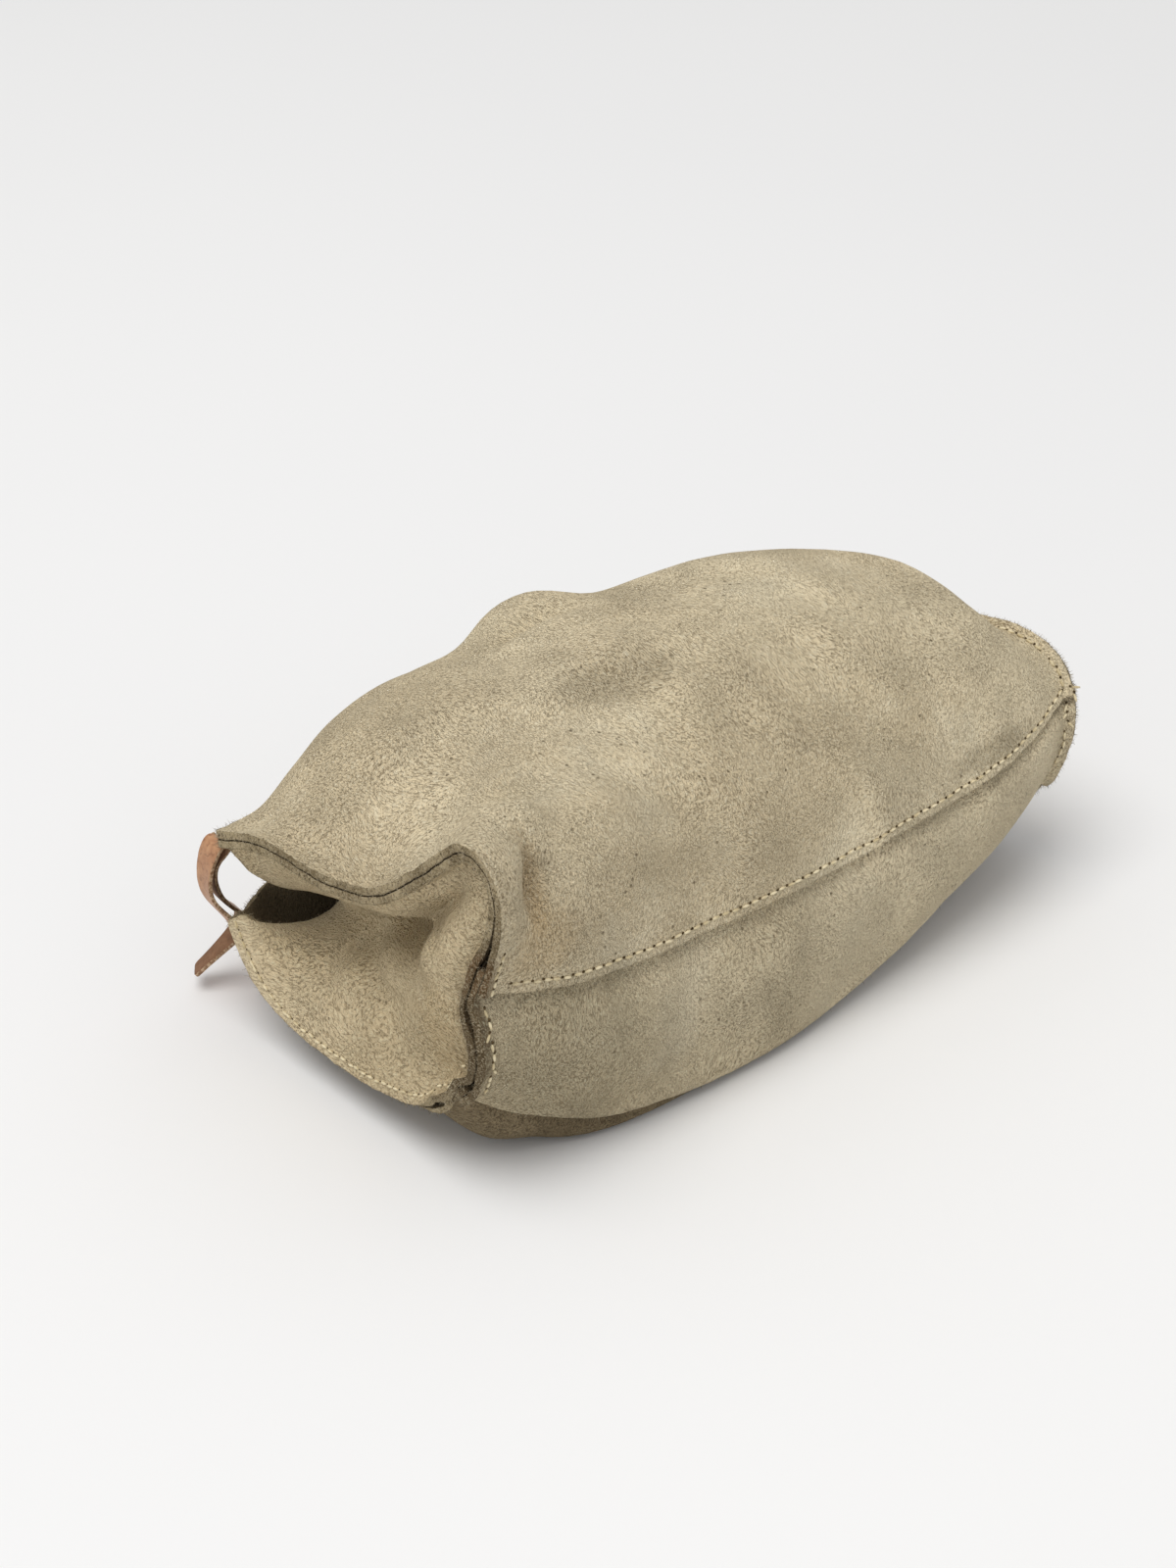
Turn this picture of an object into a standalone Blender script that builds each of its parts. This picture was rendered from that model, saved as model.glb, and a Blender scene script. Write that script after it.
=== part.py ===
"""Suede handbag lying on its back panel, for Blender 4.5.

The bag is a front, a base and a back panel of thick suede, sewn to one another with lapped seams, and
two end gussets sewn in with the raw edges turned outwards. One tan leather strap is tied round the
lips of the mouth at both ends and makes the handle.

Frame: metres, +Z up, +X along the bag from the near end to the far end, +Y towards the mouth. The
origin is on the table, under the middle of the bag.
"""

import math

import bmesh
import bpy
import numpy as np

# Sizes of the bag, in metres
BAG_LENGTH = 0.261  # between the stitch lines of the two gussets
BAG_DEPTH = 0.160  # from the base to the lips of the mouth, as the bag lies
BAG_HEIGHT = 0.122  # from the table to the crown of the front panel
SUEDE = 0.0026  # thickness of every suede piece
SEAT_GAP = 0.0004  # clearance between two pieces that touch
FLANGE = 0.0045  # how far the raw edges stand out past the gusset stitches
PUFF = 1.02  # how steeply the panels swell out at the gussets: 1 is square, more is gentler

SETTLE = 0.0040  # how softly the leather turns up from the table

# Sizes of the strap
STRAP_WIDTH = 0.0088
STRAP_THICKNESS = 0.0013

# How deep the gussets fold into the bag at the mouth
NEAR_FOLD_DEPTH = 0.024
FAR_FOLD_DEPTH = 0.020

# Sections of the panels across the bag, each drawn in millimetres (y, z) on a bag of DRAWN_DEPTH by
# DRAWN_HEIGHT. They start at the front lip, go over the crown, and round the base to the back lip.
DRAWN_DEPTH = 160.0
DRAWN_HEIGHT = 122.0
FRONT_LIP, BASE_SEAM, BACK_SEAM, BACK_LIP = 0, 7, 9, 13
NEAR_END = [
    (66, 70), (38, 80), (12, 81), (-14, 88), (-38, 108), (-57, 124), (-71, 112),
    (-64, 76), (-66, 54), (-52, 32), (-28, 20), (8, 16), (42, 21), (60, 42),
]
NEAR_SHOULDER = [
    (80, 58), (75, 81), (55, 101), (25, 110), (-8, 112), (-37, 113), (-58, 104),
    (-67, 64), (-72, 36), (-66, 9), (-53, -8), (2, -2), (46, 2), (84, 34),
]
MIDDLE = [
    (87, 54), (83, 78), (62, 98), (31, 112), (-4, 117), (-38, 108), (-60, 87),
    (-69, 60), (-73, 30), (-68, 4), (-52, -7), (2, -3), (50, -1), (86, 30),
]
FAR_SHOULDER = [
    (78, 58), (75, 78), (54, 96), (25, 108), (-3, 110), (-32, 104), (-55, 89),
    (-67, 61), (-69, 41), (-58, 16), (-34, 5), (2, 1), (46, 4), (76, 34),
]
FAR_END = [
    (62, 70), (45, 78), (22, 80), (2, 79), (-16, 80), (-35, 83), (-50, 80),
    (-58, 69), (-59, 52), (-51, 32), (-32, 17), (2, 11), (35, 16), (60, 42),
]

# Dents and humps of the slack leather: place along the bag, place round the section, reach along the
# bag, reach round the section, height outwards
DENTS = [
    (-0.42, 4.95, 0.038, 0.45, 0.0040),  # the ear of the near corner
    (-0.44, 6.10, 0.040, 0.40, -0.0085),  # hollow beside the ear
    (-0.37, 5.55, 0.022, 0.60, -0.0030),  # valley behind the ear
    (-0.42, 3.85, 0.040, 0.40, -0.0030),  # valley between the ear and the lip's slope
    (-0.29, 5.90, 0.050, 0.50, 0.0025),  # bulge past the hollow
    (-0.17, 2.60, 0.045, 0.60, -0.0040),  # fold across the crown
    (0.01, 1.90, 0.060, 0.75, 0.0080),  # hump of the slack leather near the mouth
    (0.05, 2.50, 0.045, 0.60, -0.0030),  # dip before the high part of the crown
    (0.17, 2.60, 0.080, 1.00, 0.0015),  # the high part of the crown
    (0.43, 3.70, 0.040, 1.30, 0.0085),  # bulge of the far shoulder
    (0.44, 5.60, 0.030, 0.60, 0.0020),  # its ridge down to the seam
    (0.475, 4.80, 0.022, 1.20, -0.0055),  # valley in front of the far flange
]

# Tilt of the sewn flanges away from the line of the bag, in degrees, round the section
FRONT_FLANGE_TILT = {-1: 6.0, 1: 45.0}
BACK_FLANGE_TILT = {-1: 72.0, 1: 35.0}

# Grid lines round the section, shared by the panels and the gussets so that they stay parallel
STEP_LAP = 0.26  # width of a lap, in the numbering of the section's points
LAP_CLEAR = 0.08  # how far the inner piece runs on past the lapped edge before it comes out
FRONT_STEPS = 25
BASE_STEPS = 7
BACK_STEPS = 13
LENGTH_STEPS = 25
LEAF_STEPS = 8
RELAX_PASSES = 12  # how far the folds of the gussets are rounded
STRAP_STEPS_PER_POINT = 2
STRAP_COLUMNS = 5


def spline(points, at):
    """Points of a Catmull-Rom curve through the given points, at places counted in points."""
    points = np.asarray(points, float)
    ends = [2 * points[:1] - points[1:2], points, 2 * points[-1:] - points[-2:-1]]
    padded = np.concatenate(ends)
    at = np.clip(np.asarray(at, float), 0, len(points) - 1)
    index = np.minimum(at.astype(int), len(points) - 2)
    t = at - index
    t = t.reshape(t.shape + (1,) * (points.ndim - 1))
    p0, p1, p2, p3 = (padded[index + k] for k in range(4))
    cubic = 3 * (p1 - p2) + p3 - p0
    square = 2 * p0 - 5 * p1 + 4 * p2 - p3
    return p1 + 0.5 * t * (p2 - p0 + t * (square + t * cubic))


def smooth_step(value):
    value = np.clip(value, 0, 1)
    return value * value * (3 - 2 * value)


def drawn_to_size(places):
    """Drawn millimetres to metres on the bag as it is sized."""
    return np.asarray(places, float) * [BAG_DEPTH / DRAWN_DEPTH, BAG_HEIGHT / DRAWN_HEIGHT]


def section_points(x, v):
    """Places in the YZ plane of the panels' middle surface at x, at places v round the section.

    The panels puff out from the gussets, so the sections follow one another by an arc cosine of x.
    """
    x, v = np.broadcast_arrays(np.asarray(x, float), np.asarray(v, float))
    first_angle = math.acos(1 / PUFF)
    angle = np.arccos(-2 * x / (BAG_LENGTH * PUFF))
    at = 4 * np.clip((angle - first_angle) / (math.pi - 2 * first_angle), 0, 1)
    index = np.minimum(at.astype(int), 3)
    t = (at - index)[..., None]
    around = [NEAR_END, NEAR_END, NEAR_SHOULDER, MIDDLE, FAR_SHOULDER, FAR_END, FAR_END]
    rows = np.stack([spline(section, v) for section in around])
    pick = [np.take_along_axis(rows, (index + k)[None, ..., None], 0)[0] for k in range(4)]
    cubic = 3 * (pick[1] - pick[2]) + pick[3] - pick[0]
    square = 2 * pick[0] - 5 * pick[1] + 4 * pick[2] - pick[3]
    return drawn_to_size(pick[1] + 0.5 * t * (pick[2] - pick[0] + t * (square + t * cubic)))


def outward(x, v):
    """Unit normal of the section in the YZ plane, pointing out of the bag."""
    step = 0.02
    along = section_points(x, v + step) - section_points(x, v - step)
    normal = np.stack([along[..., 1], -along[..., 0]], -1)
    return normal / np.linalg.norm(normal, axis=-1, keepdims=True)


def dents(x, v):
    height = np.zeros(np.broadcast(x, v).shape)
    for place, turn, reach, round_reach, rise in DENTS:
        far = ((x / BAG_LENGTH - place) / reach) ** 2 + ((v - turn) / round_reach) ** 2
        height += rise * np.exp(-far)
    return height


def flange_tilt(x, v):
    """The flange stands out along the bag at the front and the base, and turns down at the back."""
    share = smooth_step((v - BACK_SEAM) / 1.2)
    front = np.where(x < 0, FRONT_FLANGE_TILT[-1], FRONT_FLANGE_TILT[1])
    back = np.where(x < 0, BACK_FLANGE_TILT[-1], BACK_FLANGE_TILT[1])
    return np.radians((1 - share) * front + share * back)


def skin(x, v):
    """The panels' middle surface at x and v. Past the gusset's stitches it is the flange."""
    half = BAG_LENGTH / 2
    body_x = np.clip(x, -half, half)
    over = np.abs(x) - np.abs(body_x)
    tilt = flange_tilt(x, v)
    edge = smooth_step((half - np.abs(body_x)) / 0.012)
    lift = over * np.sin(tilt) + dents(body_x, v) * edge
    place = section_points(body_x, v) + outward(body_x, v) * lift[..., None]
    above = np.clip(place[..., 1] - SUEDE / 2, -SETTLE, None)
    z = SUEDE / 2 + np.where(above < SETTLE, (above + SETTLE) ** 2 / (4 * SETTLE), above)
    return np.stack([body_x + np.sign(x) * over * np.cos(tilt), place[..., 0], z], -1)


def unit(vectors):
    return vectors / np.maximum(np.linalg.norm(vectors, axis=-1, keepdims=True), 1e-12)


def inward_grid(points):
    """Directions into the bag at each point of a grid, longer where the grid bends, as in a mitre."""
    steps = np.diff(points, axis=0)
    before = unit(np.concatenate([steps[:1], steps]))
    after = unit(np.concatenate([steps, steps[-1:]]))
    round_the_bag = np.gradient(points, axis=1)
    normal = unit(np.cross(unit(before + after), round_the_bag))
    bend = np.sqrt(np.clip((1 + np.sum(before * after, axis=-1)) / 2, 0.3, 1))
    return normal / bend[..., None]


def layer_grid(v, inset):
    """The whole length of the bag at the grid lines v, moved into the bag by inset."""
    grid_x, grid_v = np.meshgrid(length_lines(), v, indexing="ij")
    points = skin(grid_x, grid_v)
    return points + inward_grid(points) * inset[None, :, None]


def layer_inset(v, seam):
    """How far the inner piece of a lapped seam lies inside the outer one, at v."""
    return (SUEDE + SEAT_GAP) * smooth_step(1 - (v - seam - LAP_CLEAR) / STEP_LAP)


def gusset_inset(v):
    """The gusset lies inside the panels, and inside the inner piece of each lapped seam."""
    depth = np.ones_like(v)
    for seam in (BASE_SEAM, BACK_SEAM):
        before = smooth_step((v - seam + 2 * STEP_LAP) / STEP_LAP)
        after = smooth_step((seam + 2 * STEP_LAP - v) / STEP_LAP)
        depth += 1.1 * before * after
    return (SUEDE + SEAT_GAP) * depth


def section_lines():
    """The grid lines round the whole section."""
    front = np.linspace(FRONT_LIP, BASE_SEAM - STEP_LAP, FRONT_STEPS + 1)
    base = np.linspace(BASE_SEAM + LAP_CLEAR + STEP_LAP, BACK_SEAM - STEP_LAP, BASE_STEPS)
    back = np.linspace(BACK_SEAM + LAP_CLEAR + STEP_LAP, BACK_LIP, BACK_STEPS)
    laps = []
    for seam in (BASE_SEAM, BACK_SEAM):
        laps += [seam - STEP_LAP / 2, seam, seam + LAP_CLEAR, seam + LAP_CLEAR + STEP_LAP / 2]
    return np.unique(np.round(np.concatenate([front, base, back, laps]), 6))


def length_lines():
    """The grid lines along the bag: closer together towards the gussets, and across the flanges."""
    k = np.linspace(0, 1, LENGTH_STEPS + 1)
    body = (k - 0.11 * np.sin(2 * math.pi * k) - 0.5) * BAG_LENGTH
    edge = BAG_LENGTH / 2
    return np.concatenate([[-edge - FLANGE, -edge - FLANGE / 2], body, [edge + FLANGE / 2, edge + FLANGE]])


def new_material(name, colour, roughness):
    material = bpy.data.materials.new(name)
    material.use_nodes = True
    shader = material.node_tree.nodes["Principled BSDF"]
    shader.inputs["Base Color"].default_value = (*colour, 1)
    shader.inputs["Roughness"].default_value = roughness
    shader.inputs["Metallic"].default_value = 0.0
    return material


def grid_object(name, points, material, thickness, held_rows=None):
    """A sheet through a grid of points, thickened evenly to both sides of its middle surface.

    If held_rows is given, the sheet is joined where its edges meet, and relaxes past those rows.
    """
    rows, columns = points.shape[:2]
    mesh = bpy.data.meshes.new(name)
    bm = bmesh.new()
    bmesh.ops.create_grid(bm, x_segments=columns - 1, y_segments=rows - 1, size=1)
    bm.verts.ensure_lookup_table()
    for vert, place in zip(bm.verts, points.reshape(-1, 3)):
        vert.co = place
    if held_rows is not None:
        loose = bm.verts[held_rows * columns:]
        bmesh.ops.remove_doubles(bm, verts=bm.verts, dist=1e-6)
        loose = [vert for vert in loose if vert.is_valid and not vert.is_boundary]
        for _ in range(RELAX_PASSES):
            bmesh.ops.smooth_vert(
                bm, verts=loose, factor=0.5, use_axis_x=True, use_axis_y=True, use_axis_z=True
            )
    bm.to_mesh(mesh)
    bm.free()
    mesh.materials.append(material)
    obj = bpy.data.objects.new(name, mesh)
    bpy.context.scene.collection.objects.link(obj)
    mesh.shade_smooth()
    solidify = obj.modifiers.new("Thickness", "SOLIDIFY")
    solidify.thickness = thickness
    solidify.offset = 0.0
    return obj


def make_panel(name, start, end, seam, material):
    """One panel of the wrap. Its first edge lies inside the piece before it, if it has a seam there."""
    v = section_lines()
    v = v[(v > start - 1e-4) & (v < end + 1e-4)]
    inset = np.zeros_like(v) if seam is None else layer_inset(v, seam)
    return grid_object(name, layer_grid(v, inset), material, SUEDE)


def make_gusset(name, side, valley, end_of_fold, fold_depth, upper_sag, material):
    """An end gusset: a flange round three sides, and two leaves that meet in the crease of its fold.

    The crease runs from the valley at the mouth to the corner of the front panel. valley holds the
    crease's drawn places in the YZ plane. upper_sag is how far the upper leaf hangs at the mouth.
    """
    v = section_lines()
    layer = layer_grid(v, gusset_inset(v))
    rings = list(layer[:3] if side < 0 else layer[:-4:-1])
    border = rings[-1]
    lower = v > end_of_fold
    along = np.where(lower, (BACK_LIP - v) / (BACK_LIP - end_of_fold), v / end_of_fold)
    last = np.count_nonzero(~lower) - 1
    share = np.concatenate([np.arange(last + 1), np.round(np.linspace(last, 0, lower.sum()))]) / last
    crease = spline(drawn_to_size(valley), share * (len(valley) - 1))
    past_fold = smooth_step((v - end_of_fold) / 1.8)
    wall = 0.95 - 0.58 * past_fold + 0.53 * smooth_step((v - 8.7) / 4.3)
    bulge = past_fold * (0.0068 - 0.0053 * smooth_step((v - 7.8) / 1.8))
    swell = np.where(lower, bulge, 0.006 * np.sin(math.pi * along))
    for r in 1 - np.linspace(0, 1, LEAF_STEPS + 1)[1:] ** 0.7:
        near_mouth = 1 - (along * r + share * (1 - r))
        depth = fold_depth * near_mouth ** 0.7 + 0.004
        sink = 0.5 * (1 + np.cos(math.pi * np.minimum(r / wall, 1)))
        inwards = depth * sink - swell * np.sin(math.pi * r) ** 2
        x = border[:, 0] * r + border[0, 0] * (1 - r) - side * inwards
        flat = border[:, 1:] * r + crease * (1 - r)
        sag = np.where(lower, 0.008 * np.sin(math.pi * r ** 0.65) ** 2, upper_sag * np.sin(math.pi * r) ** 2)
        flat[:, 1] -= sag * near_mouth ** 2
        rings.append(np.column_stack([x, flat]))
    points = np.stack(rings)
    if side > 0:
        points = points[:, ::-1]
    return grid_object(name, points, material, SUEDE, held_rows=3)


# Route of the strap from its near tail to its far tail, in metres: the middle of the strap, the
# direction across it, and how far it is folded along its length in degrees. From its tail the strap
# goes up behind the corner of the mouth, makes a narrow ring under the front lip, and comes down again
# to lie on the table behind the bag. The far end is tied in the same way.
NEAR_STRAP = [
    ((-0.1325, 0.0865, 0.0058), (0.60, 0.78, -0.12), 0),
    ((-0.1275, 0.0835, 0.0115), (0.58, 0.80, -0.08), 0),
    ((-0.1220, 0.0800, 0.0180), (0.45, 0.88, 0.05), 0),
    ((-0.1188, 0.0778, 0.0232), (0.15, 0.97, 0.10), 0),
    ((-0.1195, 0.0764, 0.0282), (0.05, 1.00, 0.05), 0),
    ((-0.1232, 0.0764, 0.0325), (0.06, 1.00, 0.00), 0),
    ((-0.1270, 0.0768, 0.0372), (0.12, 1.00, 0.00), 10),
    ((-0.1298, 0.0771, 0.0430), (0.16, 1.00, 0.00), 20),
    ((-0.1310, 0.0768, 0.0495), (0.16, 1.00, 0.00), 20),
    ((-0.1310, 0.0750, 0.0555), (0.12, 1.00, 0.00), 20),
    ((-0.1302, 0.0720, 0.0603), (0.05, 1.00, 0.00), 5),
    ((-0.1299, 0.0696, 0.0639), (0.00, 1.00, 0.00), 0),
    ((-0.1318, 0.0692, 0.0653), (0.00, 1.00, 0.00), 0),
    ((-0.1338, 0.0695, 0.0639), (0.00, 1.00, 0.00), 0),
    ((-0.1350, 0.0704, 0.0603), (0.06, 1.00, 0.00), 5),
    ((-0.1356, 0.0713, 0.0555), (0.14, 1.00, 0.00), 20),
    ((-0.1358, 0.0718, 0.0500), (0.18, 1.00, 0.00), 25),
    ((-0.1350, 0.0716, 0.0445), (0.16, 1.00, 0.00), 20),
    ((-0.1324, 0.0706, 0.0392), (0.08, 1.00, 0.00), 10),
    ((-0.1288, 0.0688, 0.0335), (0.00, 1.00, 0.05), 0),
    ((-0.1258, 0.0668, 0.0260), (0.05, 0.95, 0.20), 0),
    ((-0.1205, 0.0662, 0.0190), (0.10, 0.85, 0.50), 0),
    ((-0.1120, 0.0710, 0.0130), (0.05, 0.50, 0.85), 0),
    ((-0.1010, 0.0815, 0.0090), (0.00, 0.20, 1.00), 0),
    ((-0.0860, 0.0950, 0.0068), (0.00, 0.10, 1.00), 0),
    ((-0.0660, 0.1070, 0.0057), (0.00, 0.05, 1.00), 0),
    ((-0.0420, 0.1160, 0.0053), (0.00, 0.03, 1.00), 0),
    ((-0.0200, 0.1205, 0.0052), (0.00, 0.00, 1.00), 0),
    ((0.0000, 0.1220, 0.0052), (0.00, 0.00, 1.00), 0),
]


def make_strap(name, material):
    """A flat strap swept along its route, mirrored about the middle of the bag."""
    far_half = [((-c[0], c[1], c[2]), (-a[0], a[1], a[2]), fold) for c, a, fold in NEAR_STRAP[-2::-1]]
    route = NEAR_STRAP + far_half
    at = np.linspace(0, len(route) - 1, STRAP_STEPS_PER_POINT * (len(route) - 1) + 1)
    centre = spline([place for place, _, _ in route], at)
    across = spline([direction for _, direction, _ in route], at)
    fold = np.radians(spline([[angle] for _, _, angle in route], at))
    along = np.gradient(centre, axis=0)
    along /= np.linalg.norm(along, axis=1, keepdims=True)
    across -= along * np.sum(across * along, axis=1, keepdims=True)
    across /= np.linalg.norm(across, axis=1, keepdims=True)
    inward = np.cross(across, along)
    columns = []
    for side in np.linspace(-0.5, 0.5, STRAP_COLUMNS):
        bend = np.maximum(fold, 1e-3)
        sideways = STRAP_WIDTH * np.sin(side * bend) / bend
        rise = STRAP_WIDTH * (1 - np.cos(side * bend)) / bend
        columns.append(centre + across * sideways + inward * rise)
    return grid_object(name, np.stack(columns, axis=1), material, STRAP_THICKNESS)


def make_scene():
    for obj in list(bpy.data.objects):
        bpy.data.objects.remove(obj)
    suede = new_material("suede", (0.54, 0.47, 0.35), 0.95)
    make_panel("front_panel", FRONT_LIP, BASE_SEAM, None, suede)
    make_panel("base_panel", BASE_SEAM - STEP_LAP, BACK_SEAM, BASE_SEAM, suede)
    make_panel("back_panel", BACK_SEAM - STEP_LAP, BACK_LIP, BACK_SEAM, suede)
    near_valley = [(41, 45), (18, 55), (-13, 67), (-32, 86), (-45, 100)]
    make_gusset("near_gusset", -1, near_valley, 5.4, NEAR_FOLD_DEPTH, 0.006, suede)
    far_valley = [(43, 53), (20, 50), (-12, 52), (-33, 60)]
    make_gusset("far_gusset", 1, far_valley, 5.8, FAR_FOLD_DEPTH, -0.002, suede)
    make_strap("carry_strap", new_material("tan_leather", (0.45, 0.20, 0.09), 0.55))


make_scene()
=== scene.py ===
"""A used suede handbag on its back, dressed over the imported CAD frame.

The bag is sewn from thick, rough sand suede and has a flat tan leather strap.
"""

import math
import random

import bmesh
import bpy
from mathutils import Matrix, Vector, noise
from mathutils.bvhtree import BVHTree


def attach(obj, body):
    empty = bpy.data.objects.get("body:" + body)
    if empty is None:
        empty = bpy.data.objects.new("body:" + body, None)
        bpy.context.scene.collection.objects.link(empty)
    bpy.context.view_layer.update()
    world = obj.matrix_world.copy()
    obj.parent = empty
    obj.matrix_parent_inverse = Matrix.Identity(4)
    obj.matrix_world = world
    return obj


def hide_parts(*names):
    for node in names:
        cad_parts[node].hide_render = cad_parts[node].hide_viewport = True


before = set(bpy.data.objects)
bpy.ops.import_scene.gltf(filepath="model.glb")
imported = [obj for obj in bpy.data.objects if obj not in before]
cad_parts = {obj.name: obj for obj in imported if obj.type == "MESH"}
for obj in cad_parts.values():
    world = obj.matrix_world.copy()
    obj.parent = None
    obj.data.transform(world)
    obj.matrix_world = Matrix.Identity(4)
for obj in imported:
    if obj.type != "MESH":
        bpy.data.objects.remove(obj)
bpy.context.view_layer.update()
scene = bpy.context.scene
scene.view_settings.view_transform = "Standard"


# The view, table and light. The bag lies on a pale table in a room with a soft light from above, and is
# seen from its base side, past the near end.
lens = bpy.data.cameras.new("view_of_the_bag")
lens.lens = 70
lens.sensor_width = 36
camera = bpy.data.objects.new("view_of_the_bag", lens)
scene.collection.objects.link(camera)
turn = math.radians(42.6)
rise = math.radians(32)
look = Vector((math.sin(turn) * math.cos(rise), math.cos(turn) * math.cos(rise), -math.sin(rise)))
camera.location = (-0.59504, -0.60872, 0.59430)
camera.rotation_euler = look.to_track_quat("-Z", "Y").to_euler()
scene.camera = camera


class Shade:
    """A value in a material's nodes that takes part in plain arithmetic."""

    def __init__(self, tree, socket=None):
        self.tree = tree
        self.socket = socket

    def node(self, kind, settings, inputs, output=0):
        made = self.tree.nodes.new(kind)
        for key, value in settings.items():
            setattr(made, key, value)
        for key, value in inputs.items():
            if isinstance(value, Shade):
                self.tree.links.new(value.socket, made.inputs[key])
            else:
                made.inputs[key].default_value = value
        return Shade(self.tree, made.outputs[output])

    def maths(self, operation, *values):
        return self.node("ShaderNodeMath", {"operation": operation}, dict(enumerate(values)))

    def __add__(self, other):
        return self.maths("ADD", self, other)

    def __radd__(self, other):
        return self.maths("ADD", other, self)

    def __sub__(self, other):
        return self.maths("SUBTRACT", self, other)

    def __rsub__(self, other):
        return self.maths("SUBTRACT", other, self)

    def __mul__(self, other):
        return self.maths("MULTIPLY", self, other)

    def __rmul__(self, other):
        return self.maths("MULTIPLY", other, self)

    def ramp(self, low, high):
        """0 below low and 1 above high, or the other way round, with soft ends."""
        settings = {"interpolation_type": "SMOOTHSTEP"}
        return self.node("ShaderNodeMapRange", settings, {0: self, 1: low, 2: high, 3: 0.0, 4: 1.0})

    def mix(self, factor, first, second):
        """The first colour where the factor is 0, and the second where it is 1."""
        inputs = {"Factor": factor, 6: first, 7: second}
        return self.node("ShaderNodeMix", {"data_type": "RGBA"}, inputs, 2)

    def feed(self, shader, name):
        """Lead this value into one of the shader's sockets."""
        self.tree.links.new(self.socket, shader.inputs[name])


def new_material(name, roughness, shine):
    """A new material, its shader, its nodes and the place on the object that its patterns read."""
    material = bpy.data.materials.new(name)
    material.use_nodes = True
    shader = material.node_tree.nodes["Principled BSDF"]
    shader.inputs["Roughness"].default_value = roughness
    shader.inputs["Specular IOR Level"].default_value = shine
    tree = Shade(material.node_tree)
    place = tree.node("ShaderNodeTexCoord", {}, {}, 3)
    return material, shader, tree, place


def noise_of(tree, place, scale, detail=2.0, roughness=0.5, warp=0.0):
    inputs = {"Vector": place, "Scale": scale, "Detail": detail, "Roughness": roughness, "Distortion": warp}
    return tree.node("ShaderNodeTexNoise", {}, inputs)


def table_material():
    material, shader, tree, place = new_material("pale_table", 0.9, 0.1)
    cloud = noise_of(tree, place, 1.2)
    colour = tree.mix(cloud.ramp(0.3, 0.7), (0.865, 0.865, 0.868, 1), (0.885, 0.885, 0.885, 1))
    colour.feed(shader, "Base Color")
    return material


table_top = bpy.data.meshes.new("table")
bm = bmesh.new()
bmesh.ops.create_grid(bm, x_segments=2, y_segments=2, size=6)
bmesh.ops.translate(bm, verts=bm.verts, vec=(0, 0, -0.0002))
bm.to_mesh(table_top)
bm.free()
table_top.materials.append(table_material())
table = bpy.data.objects.new("table", table_top)
scene.collection.objects.link(table)

room = bpy.data.worlds.new("room")
room.use_nodes = True
walls = room.node_tree.nodes["Background"]
walls.inputs["Color"].default_value = (1.0, 1.0, 1.0, 1)
walls.inputs["Strength"].default_value = 0.585
scene.world = room

bulb = bpy.data.lights.new("soft_light", "AREA")
bulb.shape = "DISK"
bulb.size = 2.2
bulb.energy = 54
bulb.color = (1.0, 0.99, 0.975)
lamp = bpy.data.objects.new("soft_light", bulb)
lamp.location = (-1.0, -0.15, 3.0)
lamp.rotation_euler = (Vector((0, 0, 0.05)) - lamp.location).to_track_quat("-Z", "Y").to_euler()
scene.collection.objects.link(lamp)


# The front panel. It is one large piece of suede with a rough nap, from the lip of the mouth over the
# crown to the long seam. Its edges are raw: the cut shows grey-brown fibres.
def spot(tree, place, centre, reach, edge=0.35):
    """1 at a place on the bag and 0 past a reach along each axis, with a ragged border."""
    away = tree.node("ShaderNodeVectorMath", {"operation": "SUBTRACT"}, {0: place, 1: centre})
    nearness = {0: away, 1: [1 / part for part in reach]}
    away = tree.node("ShaderNodeVectorMath", {"operation": "MULTIPLY"}, nearness)
    distance = tree.node("ShaderNodeVectorMath", {"operation": "LENGTH"}, {0: away}, 1)
    ragged = distance + (noise_of(tree, place, 160.0, 3.0, 0.7) - 0.5) * 0.9
    return ragged.ramp(1.0, edge)


# How much of the low colour the painted shade in the nap's valleys keeps, and the painted shade in the pits.
VALLEY_SHADE = (0.45, 0.37, 0.29)
PAINTED_PIT_SHADE = (0.20, 0.14, 0.07, 1)


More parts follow.
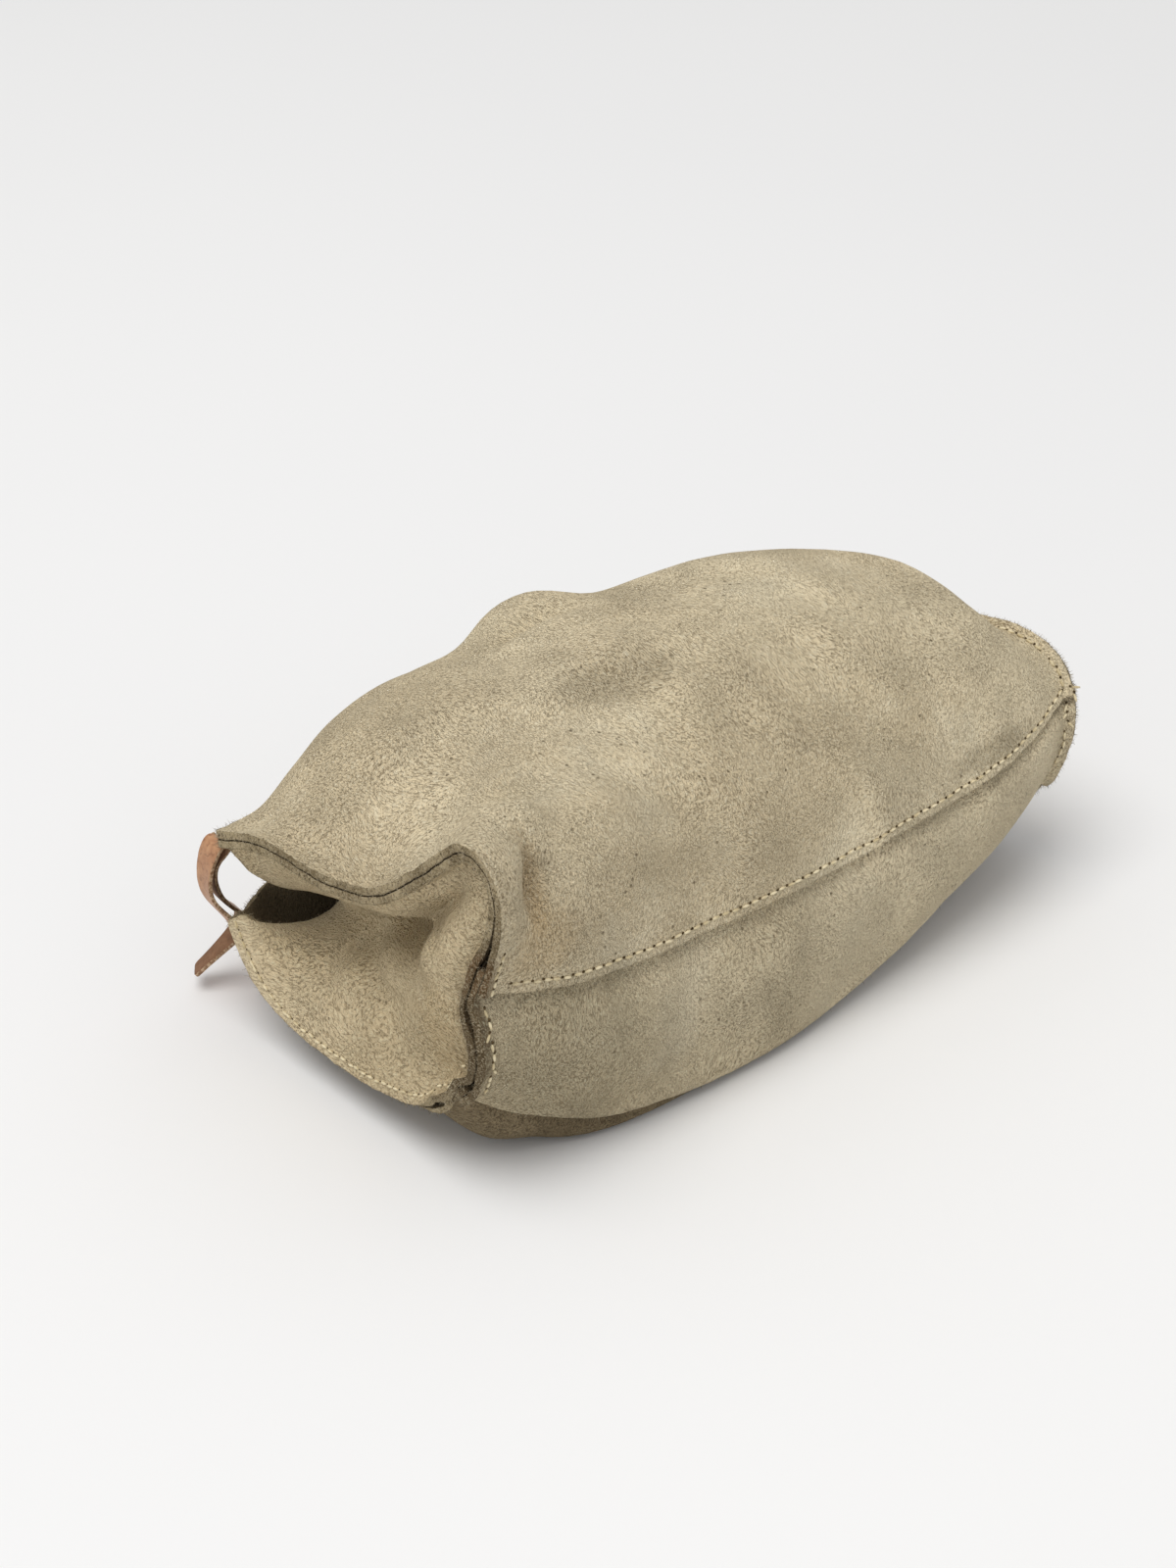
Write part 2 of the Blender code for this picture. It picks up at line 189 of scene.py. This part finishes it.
def suede_material(name, low, high, rubbed, with_stains_and_shade=True):
    """Napped suede between two colours, rubbed pale in patches, with pits, painted light and shade on the
    nap, and marks.
    """
    material, shader, tree, place = new_material(name, 0.95, 0.12)
    drift = tree.node("ShaderNodeTexNoise", {}, {"Vector": place, "Scale": 26.0, "Detail": 1.0}, 1)
    offset = tree.node("ShaderNodeVectorMath", {"operation": "SUBTRACT"}, {0: drift, 1: (0.5, 0.5, 0.5)})
    offset = tree.node("ShaderNodeVectorMath", {"operation": "SCALE"}, {0: offset, "Scale": 0.024})
    swirled = tree.node("ShaderNodeVectorMath", {"operation": "ADD"}, {0: place, 1: offset})
    combed = tree.node("ShaderNodeVectorMath", {"operation": "MULTIPLY"}, {0: swirled, 1: (1.0, 0.45, 0.7)})
    nap = noise_of(tree, combed, 1650.0, 2.0, 0.6, 0.7)
    fuzz = noise_of(tree, place, 2600.0, 1.0)
    patches = noise_of(tree, place, 24.0, 3.0, 0.6, 0.4)
    clouds = noise_of(tree, place, 8.0, 3.0, 0.55)
    valleys = nap.ramp(0.45, 0.32) * (0.5 + patches.ramp(0.60, 0.38) * 0.5)
    pits = tree.node("ShaderNodeTexVoronoi", {}, {"Vector": place, "Scale": 260.0}).ramp(0.16, 0.08)
    pits = pits * noise_of(tree, place, 70.0, 1.0).ramp(0.52, 0.60)
    colour = tree.mix(clouds.ramp(0.36, 0.66), low, high)
    colour = tree.mix(patches.ramp(0.52, 0.74) * 0.4, colour, rubbed)
    darker = [part * 0.68 for part in low[:3]] + [1]
    colour = tree.mix(patches.ramp(0.48, 0.28) * 0.35, colour, darker)
    if with_stains_and_shade:
        for centre, reach, depth, stain_and_shade_colour in STAINS_AND_SHADE:
            mark = spot(tree, place, centre, reach)
            colour = tree.mix(mark * depth, colour, stain_and_shade_colour)
    # Painted highlight: the crests of the nap are lightened towards a paler rubbed colour.
    painted_nap_highlight = [min(part * 1.25, 0.92) for part in rubbed[:3]] + [1]
    colour = tree.mix(nap.ramp(0.50, 0.70) * 0.26, colour, painted_nap_highlight)
    # Painted shade: the valleys of the nap and its pits are darkened.
    shaded = [part * share for part, share in zip(low, VALLEY_SHADE)] + [1]
    colour = tree.mix(valleys * 0.50, colour, shaded)
    colour = tree.mix(pits * 0.65, colour, PAINTED_PIT_SHADE)
    colour.feed(shader, "Base Color")
    height = nap + fuzz * 0.25 - valleys * 0.35 - pits * 0.5
    bump = tree.node("ShaderNodeBump", {}, {"Strength": 1.0, "Distance": 0.0019, "Height": height})
    bump.feed(shader, "Normal")
    return material


def raw_edge_material():
    """Grey-brown cut fibres at the lip and the ends, lighter ones along the two lapped seams, and painted
    shade down the near corner.
    """
    material, shader, tree, place = new_material("raw_suede_edge", 0.95, 0.1)
    along = tree.node("ShaderNodeSeparateXYZ", {}, {0: place})
    across = tree.node("ShaderNodeSeparateXYZ", {}, {0: place}, 1)
    fibres = noise_of(tree, place, 1300.0, 3.0, 0.7, 0.6)
    soil = noise_of(tree, place, 90.0, 2.0)
    colour = tree.mix(soil.ramp(0.35, 0.65), (0.235, 0.18, 0.10, 1), (0.43, 0.345, 0.21, 1))
    lapped = across.ramp(-0.040, -0.046) * along.maths("ABSOLUTE", along).ramp(0.1285, 0.1265)
    colour = tree.mix(lapped * 0.85, colour, (0.66, 0.56, 0.38, 1))
    # Painted shade: the cut edge down the near lower corner is darkened where it lies in shade.
    dark = spot(tree, place, (-0.137, -0.058, 0.064), (0.025, 0.034, 0.044), 0.6)
    colour = tree.mix(dark * 0.85, colour, (0.095, 0.062, 0.030, 1))
    rust = spot(tree, place, (-0.136, -0.061, 0.083), (0.012, 0.020, 0.012))
    colour = tree.mix(rust * 0.18, colour, (0.27, 0.105, 0.028, 1))
    dots = tree.node("ShaderNodeTexVoronoi", {}, {"Vector": place, "Scale": 430.0}).ramp(0.30, 0.16)
    colour = tree.mix(dots * 0.6, colour, (0.07, 0.05, 0.025, 1))
    colour = tree.mix(fibres.ramp(0.50, 0.66) * 0.7, colour, (0.50, 0.43, 0.30, 1))
    colour = tree.mix(fibres.ramp(0.47, 0.36) * 0.8, colour, (0.05, 0.037, 0.018, 1))
    colour.feed(shader, "Base Color")
    bump = tree.node("ShaderNodeBump", {}, {"Strength": 0.9, "Distance": 0.0008, "Height": fibres})
    bump.feed(shader, "Normal")
    return material


# Each mark is its place, its reach along each axis, its depth and its colour. Most are stains; the notes
# name the painted shade and the plain darker patches.
STAINS_AND_SHADE = [
    ((-0.113, -0.0580, 0.101), (0.0075, 0.014, 0.025), 0.40, (0.50, 0.33, 0.155, 1)),
    ((-0.1345, -0.066, 0.083), (0.004, 0.010, 0.014), 0.55, (0.17, 0.10, 0.045, 1)),
    # Only darker: a strip along the long seam at the right.
    ((0.088, -0.064, 0.069), (0.030, 0.010, 0.007), 0.45, (0.24, 0.185, 0.105, 1)),
    ((-0.112, -0.0660, 0.085), (0.020, 0.014, 0.015), 0.42, (0.62, 0.445, 0.235, 1)),
    ((-0.130, -0.0450, 0.052), (0.018, 0.020, 0.028), 0.35, (0.58, 0.42, 0.22, 1)),
    # Painted shade in the shallow dip on the crown.
    ((-0.030, -0.006, 0.117), (0.034, 0.017, 0.015), 0.40, (0.30, 0.235, 0.14, 1)),
    # Painted shade down the near lower corner of the bag.
    ((-0.1375, -0.062, 0.066), (0.0055, 0.016, 0.040), 0.85, (0.13, 0.085, 0.042, 1)),
    # Only darker: a patch low on the near end of the base.
    ((-0.108, -0.070, 0.040), (0.045, 0.030, 0.045), 0.40, (0.34, 0.28, 0.175, 1)),
]
suede = suede_material(
    "sand_suede", (0.735, 0.605, 0.395, 1), (0.905, 0.77, 0.525, 1), (0.93, 0.825, 0.60, 1)
)
# The inner, flesh side of the suede, its colour painted far darker as painted shade for the inside of the
# bag.
inner_suede_painted_shade = suede_material(
    "inner_suede_painted_shade", (0.13, 0.095, 0.05, 1), (0.20, 0.15, 0.085, 1), (0.22, 0.17, 0.10, 1)
)
raw_edge = raw_edge_material()
RIM_TURN = math.radians(52)  # a corner that turns more than this bounds the cut edge
MIDDLE = Vector((0, 0.01, 0.05))  # a place inside the bag
rim_points = []  # the places on the cut edges and the way each faces, for the loose fibres


def areas_of(bm, left_out, turn):
    """The areas of faces that join over edges which turn less than this, without the faces left out."""
    areas = []
    seen = set(left_out)
    for start in bm.faces:
        if start in seen:
            continue
        area = [start]
        seen.add(start)
        for face in area:
            for edge in face.edges:
                if edge.calc_face_angle(0) < turn:
                    fresh = [other for other in edge.link_faces if other not in seen]
                    seen.update(fresh)
                    area += fresh
        areas.append(area)
    return areas


def rim_faces(bm):
    """The faces of the cut edge: all but the two largest of the areas that sharp corners bound."""
    areas = areas_of(bm, [], RIM_TURN)
    areas.sort(key=lambda area: sum(face.calc_area() for face in area))
    return [face for area in areas[:-2] for face in area]


def facing_out(area):
    """How far an area faces away from the middle of the bag."""
    return sum(face.normal.dot(face.calc_center_median() - MIDDLE) * face.calc_area() for face in area)


def inner_faces(bm, rim):
    """The face of the piece that looks into the bag."""
    return min(areas_of(bm, rim, math.inf), key=facing_out)


# Where the soft leather has been pushed in or out: the piece, the middle, the reach along each axis and
# how far the middle moves, in millimetres. All pieces move where no piece is named.
PUSHES = [
    ("", (-6, 64, 99), (30, 18, 16), (-1, 3, 6)),
    ("", (-14, 50, 106), (28, 6, 9), (0, 0, -3.4)),
    ("", (-16, 40, 110), (30, 9, 9), (0, 0, 1.6)),
    ("", (-96, -32, 116), (20, 11, 14), (0, -1, -5.5)),
    ("", (-104, -48, 117), (16, 8, 9), (0.5, 1.0, 4.0)),
    ("", (-82, -53, 108), (18, 8, 9), (0, 0.8, 3.4)),
    ("", (-124, -57, 108), (7, 12, 16), (-0.6, -1.8, 0.8)),
    ("", (-113, -58, 104), (5, 11, 22), (0.5, 4.2, -2.0)),
    ("", (-134, -58, 112), (8, 14, 12), (0.8, -1.8, 1.6)),
    ("", (-136, -62, 60), (12, 14, 24), (-3.0, 2.0, 0)),
    ("near_gusset", (-136, -47, 33), (8, 9, 9), (0, -2.0, -2.5)),
    ("near_gusset", (-116, -8, 68), (16, 28, 10), (10, 0, 0)),
    ("near_gusset", (-122, -10, 55), (14, 22, 10), (-5.5, 0, 1.5)),
    ("near_gusset", (-127, -33, 74), (12, 14, 11), (-4.5, 0, 0)),
    ("near_gusset", (-124, 13, 41), (12, 15, 9), (-3.5, 0, 1.5)),
    ("base_panel", (-20, -68, 8), (55, 14, 10), (0, -0.5, -2.0)),
    ("", (-27, -5, 116), (30, 14, 14), (0, 0, -2.0)),
    ("", (-52, -43, 108), (20, 9, 10), (0, 0, 1.5)),
    ("", (-56, -57, 99), (24, 10, 10), (0, 1.6, -1.0)),
    ("back_panel", (-118, -42, 14), (22, 26, 16), (-1.5, -2.0, -4.5)),
    ("base_panel", (-95, -66, 20), (45, 14, 12), (0, -0.3, 1.6)),
]


# The width and the depth of the waves in slack leather, the height over the table at which they are
# whole, the share of them that the firm strap has, and how far a cut edge strays, all in metres but
# that share. The noise that they come from is given a seed, so that they fall the same way each time.
noise.seed_set(7)
WAVES = [(0.030, 0.0007), (0.011, 0.00028)]
SETTLED_HEIGHT = 0.012
FIRM_SHARE = 0.3
SUEDE_FRAY = 0.00035
STRAP_FRAY = 0.00006
FRAY_WIDTH = 0.0035
TABLE_GAP = 0.00002


def slack(place, node, share):
    """How far soft leather strays from an even surface. Both faces of a piece stray together."""
    settled = min(max(place.z / SETTLED_HEIGHT, 0), 1) * share
    stray = Vector()
    for width, depth in WAVES:
        stray += noise.noise_vector(place / width) * depth * settled
    for only, middle, reach, move in PUSHES:
        if only in ("", node):
            away = [(place[axis] * 1000 - middle[axis]) / reach[axis] for axis in range(3)]
            near = 1 - sum(part * part for part in away)
            if near > 0:
                stray += Vector(move) * 0.001 * near * near
    return stray


def rounded(node, name, outer, edge, inner):
    """The node's shell with its triangles joined and rounded off, and its three materials."""
    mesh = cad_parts[node].data.copy()
    mesh.materials.clear()
    for material in (outer, edge, inner):
        mesh.materials.append(material)
    piece = bpy.data.objects.new(name, mesh)
    scene.collection.objects.link(piece)
    bm = bmesh.new()
    bm.from_mesh(mesh)
    bmesh.ops.remove_doubles(bm, verts=bm.verts, dist=2e-6)
    bmesh.ops.join_triangles(
        bm, faces=bm.faces, angle_face_threshold=math.radians(30), angle_shape_threshold=math.radians(50)
    )
    crease = bm.edges.layers.float.get("crease_edge") or bm.edges.layers.float.new("crease_edge")
    rim = set(rim_faces(bm))
    for face in bm.faces:
        face.smooth = True
        face.material_index = 0
    for face in inner_faces(bm, rim):
        face.material_index = 2
    for face in rim:
        face.material_index = 1
        for border in face.edges:
            if any(other not in rim for other in border.link_faces):
                border[crease] = 0.75
    bm.to_mesh(mesh)
    bm.free()
    rounding = piece.modifiers.new("rounding", "SUBSURF")
    rounding.levels = 2
    rounding.render_levels = 2
    smooth = bpy.data.meshes.new_from_object(piece.evaluated_get(bpy.context.evaluated_depsgraph_get()))
    piece.modifiers.clear()
    piece.data = smooth
    return piece


def soft_piece(node, name, outer, edge, inner, frays=True):
    """The node's shell, rounded off and slack. Its cut edges are ragged, and carry fibres if it frays."""
    piece = rounded(node, name, outer, edge, inner)
    share = 1 if frays else FIRM_SHARE
    fray_depth = SUEDE_FRAY if frays else STRAP_FRAY
    bm = bmesh.new()
    bm.from_mesh(piece.data)
    ragged = {vert for face in bm.faces if face.material_index == 1 for vert in face.verts}
    for vert in bm.verts:
        fray = noise.noise_vector(vert.co / FRAY_WIDTH) * fray_depth if vert in ragged else Vector()
        vert.co += slack(vert.co, node, share) + fray
        vert.co.z = max(vert.co.z, TABLE_GAP)
        if frays and vert in ragged:
            rim_points.append((vert.co.copy(), vert.normal.copy()))
    bm.to_mesh(piece.data)
    bm.free()
    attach(piece, "root")
    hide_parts(node)
    return piece


front = soft_piece("front_panel", "front_panel_suede", suede, raw_edge, inner_suede_painted_shade)


# The base panel. It stands on the table side of the long seam, and its top edge lies under the front
# panel. Its lower edge is cut raw and lies over the back panel.
base_suede = suede_material(
    "base_suede", (0.66, 0.545, 0.355, 1), (0.82, 0.695, 0.475, 1), (0.84, 0.74, 0.54, 1)
)
base = soft_piece("base_panel", "base_panel_suede", base_suede, raw_edge, inner_suede_painted_shade)


# The back panel. It is the piece that the bag lies on, from the lower seam to the back lip of the mouth.
# Its suede is painted darker than the rest, as painted shade.
back_suede_painted_shade = suede_material(
    "back_suede_painted_shade", (0.27, 0.205, 0.12, 1), (0.36, 0.285, 0.175, 1), (0.36, 0.30, 0.19, 1), with_stains_and_shade=False
)
soft_piece("back_panel", "back_panel_suede", back_suede_painted_shade, raw_edge, inner_suede_painted_shade)


# The near gusset. It closes the left end, is sewn in with its raw edges outwards, and folds into the bag
# at the mouth.
gusset_suede = suede_material(
    "gusset_suede", (0.635, 0.505, 0.31, 1), (0.80, 0.655, 0.425, 1), (0.83, 0.72, 0.52, 1)
)
near_gusset = soft_piece("near_gusset", "near_gusset_suede", gusset_suede, raw_edge, inner_suede_painted_shade)


# The far gusset. It closes the right end in the same way, from the same suede, and its raw edges stand
# up behind the front panel.
soft_piece("far_gusset", "far_gusset_suede", gusset_suede, raw_edge, inner_suede_painted_shade)


# The carry strap. It is one flat strip of smooth tan leather with dark cut edges. It is tied round the
# lips of the mouth at both ends, and lies on the table behind the bag.
def strap_material(name, low, high, roughness):
    material, shader, tree, place = new_material(name, roughness, 0.4)
    grain = noise_of(tree, place, 700.0, 2.0)
    wear = noise_of(tree, place, 260.0, 4.0, 0.6, 0.5)
    colour = tree.mix(wear.ramp(0.15, 0.85), low, high)
    colour = tree.mix(grain.ramp(0.45, 0.35) * 0.4, colour, (0.16, 0.06, 0.025, 1))
    colour.feed(shader, "Base Color")
    bump = tree.node("ShaderNodeBump", {}, {"Strength": 0.3, "Distance": 0.0004, "Height": grain})
    bump.feed(shader, "Normal")
    return material


def strap_edge_material():
    material, shader, tree, place = new_material("strap_cut_edge", 0.8, 0.2)
    fibres = noise_of(tree, place, 900.0, 3.0, 0.7)
    colour = tree.mix(fibres.ramp(0.4, 0.6), (0.24, 0.13, 0.07, 1), (0.55, 0.40, 0.26, 1))
    colour.feed(shader, "Base Color")
    return material


tan = strap_material("tan_strap_leather", (0.36, 0.165, 0.075, 1), (0.56, 0.31, 0.165, 1), 0.45)
# The flesh side of the strap is rougher, and its colour is painted darker than the tan face as painted
# shade.
flesh = strap_material("strap_flesh_side_painted_shade", (0.16, 0.075, 0.035, 1), (0.27, 0.14, 0.07, 1), 0.85)
strap = soft_piece("carry_strap", "carry_strap_leather", tan, strap_edge_material(), flesh, frays=False)


# The stitches. Every seam is sewn by hand with cream thread, through holes drawn as dark flat beads of
# painted shade. A stitch is a short bead of thread that is half sunk in the leather.
def thread_material():
    material, shader, tree, place = new_material("cream_thread", 0.8, 0.2)
    soil = noise_of(tree, place, 240.0, 2.0)
    twist = noise_of(tree, place, 2400.0, 1.0)
    colour = tree.mix(soil.ramp(0.35, 0.65), (0.58, 0.48, 0.29, 1), (0.80, 0.70, 0.48, 1))
    colour.feed(shader, "Base Color")
    bump = tree.node("ShaderNodeBump", {}, {"Strength": 0.5, "Distance": 0.0003, "Height": twist})
    bump.feed(shader, "Normal")
    return material


# Painted shade: each hole is a dark flat bead on the surface, not an opening.
def hole_material():
    material, shader, tree, place = new_material("stitch_hole_painted_shade", 0.95, 0.05)
    soil = noise_of(tree, place, 900.0, 2.0)
    colour = tree.mix(soil.ramp(0.4, 0.6), (0.055, 0.035, 0.015, 1), (0.13, 0.09, 0.045, 1))
    colour.feed(shader, "Base Color")
    return material


def tree_of(piece):
    """The piece's faces, sorted so that a straight line finds the first one it meets."""
    bm = bmesh.new()
    bm.from_mesh(piece.data)
    made = BVHTree.FromBMesh(bm)
    bm.free()
    return made


def struck(trees, start, way):
    """Where a straight line first meets one of the pieces, and the way the surface faces there."""
    hits = [made.ray_cast(start, way) for made in trees]
    hits = [hit for hit in hits if hit[0] is not None]
    return min(hits, key=lambda hit: hit[3])[:2] if hits else None


def last_met(met, missed, meets):
    """The last value at which a line meets the leather, on the way from one that does to one that misses."""
    for halving in range(14):
        middle = (met + missed) / 2
        if meets(middle):
            met = middle
        else:
            missed = middle
    return met


front_tree, base_tree = tree_of(front), tree_of(base)
SECTION_MIDDLE = Vector((0, -0.035, 0.065))
CLEAR = 0.2  # a distance at which a line starts outside the bag
SEAM_START, SEAM_STEP, SEAM_STATIONS = -0.130, 0.001, 261
SEAM_LEVELS = (0.100, 0.045)  # a height on the front panel all along the seam, and one below it
END_REACH, END_STEP, END_STEPS = 0.141, 0.0004, 60
BASE_SIDE = -0.03  # the side of the bag that carries the seam lies before this
LEAF_REACHES = (0.015, 0.14)  # a distance from the middle within the leaf, and one past it


def seam_row(inset):
    """Along the long seam, a little above the raw edge of the front panel."""
    row = []
    for station in range(SEAM_STATIONS):
        x = SEAM_START + station * SEAM_STEP

        def meets(level):
            hit = struck([front_tree], Vector((x, -CLEAR, level)), Vector((0, 1, 0)))
            return hit and hit[0].y < BASE_SIDE

        edge = last_met(*SEAM_LEVELS, meets)
        row.append(struck([front_tree], Vector((x, -CLEAR, edge + inset)), Vector((0, 1, 0))))
    return row


def end_row(side, first, last, inset):
    """Round the end of the panels, a little inside their raw edge."""
    row = []
    for degrees in range(first, last):
        angle = math.radians(degrees)
        out = Vector((0, math.cos(angle), math.sin(angle)))
        for step in range(END_STEPS):
            start = SECTION_MIDDLE + out * CLEAR + Vector((side * (END_REACH - step * END_STEP), 0, 0))
            if struck([front_tree, base_tree], start, -out):
                start.x -= side * inset
                row.append(struck([front_tree, base_tree], start, -out))
                break
    return row


def leaf_row(first, last, inset):
    """Round the lower leaf of the near gusset, a little inside its raw edge."""
    leaf = [tree_of(near_gusset)]
    row = []
    for degrees in range(first, last):
        angle = math.radians(degrees)
        out = Vector((0, math.cos(angle), math.sin(angle)))
        start = SECTION_MIDDLE + Vector((-CLEAR, 0, 0))

        def meets(reach):
            return struck(leaf, start + out * reach, Vector((1, 0, 0)))

        edge = last_met(*LEAF_REACHES, meets)
        row.append(struck(leaf, start + out * (edge - inset), Vector((1, 0, 0))))
    return row


LONGEST_STEP = 0.0035  # a longer step between two places of a row is a gap in it
THREAD_WIDTH, THREAD_HEIGHT = 0.0005, 0.00048
THREAD_LIFT, HOLE_LIFT, HOLE_ASIDE = 0.00012, 0.00006, 0.0003


def blob(bm, place, turned, size, rings):
    """A small round body, as long, wide and high as its size says."""
    where = Matrix.Translation(place) @ turned @ Matrix.Diagonal((*size, 1))
    bmesh.ops.create_uvsphere(bm, u_segments=6, v_segments=rings, radius=1.0, matrix=where)


def sew(row, pitch, hole, thread, holes):
    """A stitch and a hole of this size every pitch along the row."""
    row = [hit for hit in row if hit]
    walked = 0.0
    last = row[0][0]
    places = []
    for place, normal in row:
        step = (place - last).length
        walked = walked + step if step < LONGEST_STEP else 0.0
        if walked >= pitch:
            places.append((place, normal, (place - last).normalized()))
            walked -= pitch
        last = place
    for place, normal, along in places:
        across = normal.cross(along).normalized()
        facing = along.cross(across)
        turned = Matrix((along, across, facing)).transposed().to_4x4()
        bead = place + along * pitch * 0.5 + facing * THREAD_LIFT
        blob(thread, bead, turned, (0.42 * pitch, THREAD_WIDTH, THREAD_HEIGHT), 5)
        upward = across if across.z > 0 else -across
        pit = place + facing * HOLE_LIFT + upward * HOLE_ASIDE
        blob(holes, pit, turned, (hole, hole * 0.8, hole * 0.35), 4)


def small_piece(bm, name, material):
    """Finish a mesh of many small things as one piece."""
    bmesh.ops.recalc_face_normals(bm, faces=bm.faces)
    mesh = bpy.data.meshes.new(name)
    for face in bm.faces:
        face.smooth = True
    bm.to_mesh(mesh)
    bm.free()
    mesh.materials.append(material)
    piece = bpy.data.objects.new(name, mesh)
    scene.collection.objects.link(piece)
    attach(piece, "root")
    return piece


thread, holes = bmesh.new(), bmesh.new()
sew(seam_row(0.0035), 0.0040, 0.00062, thread, holes)
sew(end_row(-1, 138, 224, 0.0036), 0.0036, 0.00062, thread, holes)
sew(end_row(1, 60, 224, 0.0040), 0.0040, 0.00055, thread, holes)
sew(leaf_row(226, 346, 0.0045), 0.0033, 0.00035, thread, holes)
small_piece(thread, "seam_stitches", thread_material())
small_piece(holes, "stitch_holes", hole_material())


# The loose fibres. Cut suede frays, so short fibres stand out from every raw edge. Each is a thin cone,
# turned a little at random from the way the edge faces. Fibres come in full batches only.
def fibre_material():
    material, shader, tree, place = new_material("loose_suede_fibres", 0.95, 0.1)
    soil = noise_of(tree, place, 500.0, 1.0)
    colour = tree.mix(soil.ramp(0.4, 0.6), (0.17, 0.135, 0.08, 1), (0.55, 0.47, 0.33, 1))
    colour.feed(shader, "Base Color")
    return material


FIBRES = 6500
BATCH = 60  # one fibre more takes long in a large mesh, so they are made a batch at a time
SHORTEST, LONGEST = 0.0007, 0.0021
ROOT_DEPTH = 0.0002
ROOT_RADIUS, TIP_RADIUS = 0.00009, 0.00001
LOWEST = 0.002  # no fibre starts lower, where it would go into the table

draw = random.Random(7)
fibres, batch = bmesh.new(), bmesh.new()
tuft = bpy.data.meshes.new("tuft")
for number, (place, normal) in enumerate(draw.sample(rim_points, FIBRES)):
    if number % BATCH == BATCH - 1:
        batch.to_mesh(tuft)
        fibres.from_mesh(tuft)
        batch.clear()
    stray = Vector((draw.gauss(0, 1), draw.gauss(0, 1), draw.gauss(0, 1))) * 0.55
    way = (normal + stray).normalized()
    length = draw.uniform(SHORTEST, LONGEST)
    if place.z < LOWEST:
        continue
    turned = way.to_track_quat("Z", "Y").to_matrix().to_4x4()
    where = Matrix.Translation(place + way * (length * 0.5 - ROOT_DEPTH)) @ turned
    bmesh.ops.create_cone(
        batch, cap_ends=True, segments=3, radius1=ROOT_RADIUS, radius2=TIP_RADIUS, depth=length, matrix=where
    )
batch.free()
bpy.data.meshes.remove(tuft)
small_piece(fibres, "loose_edge_fibres", fibre_material())
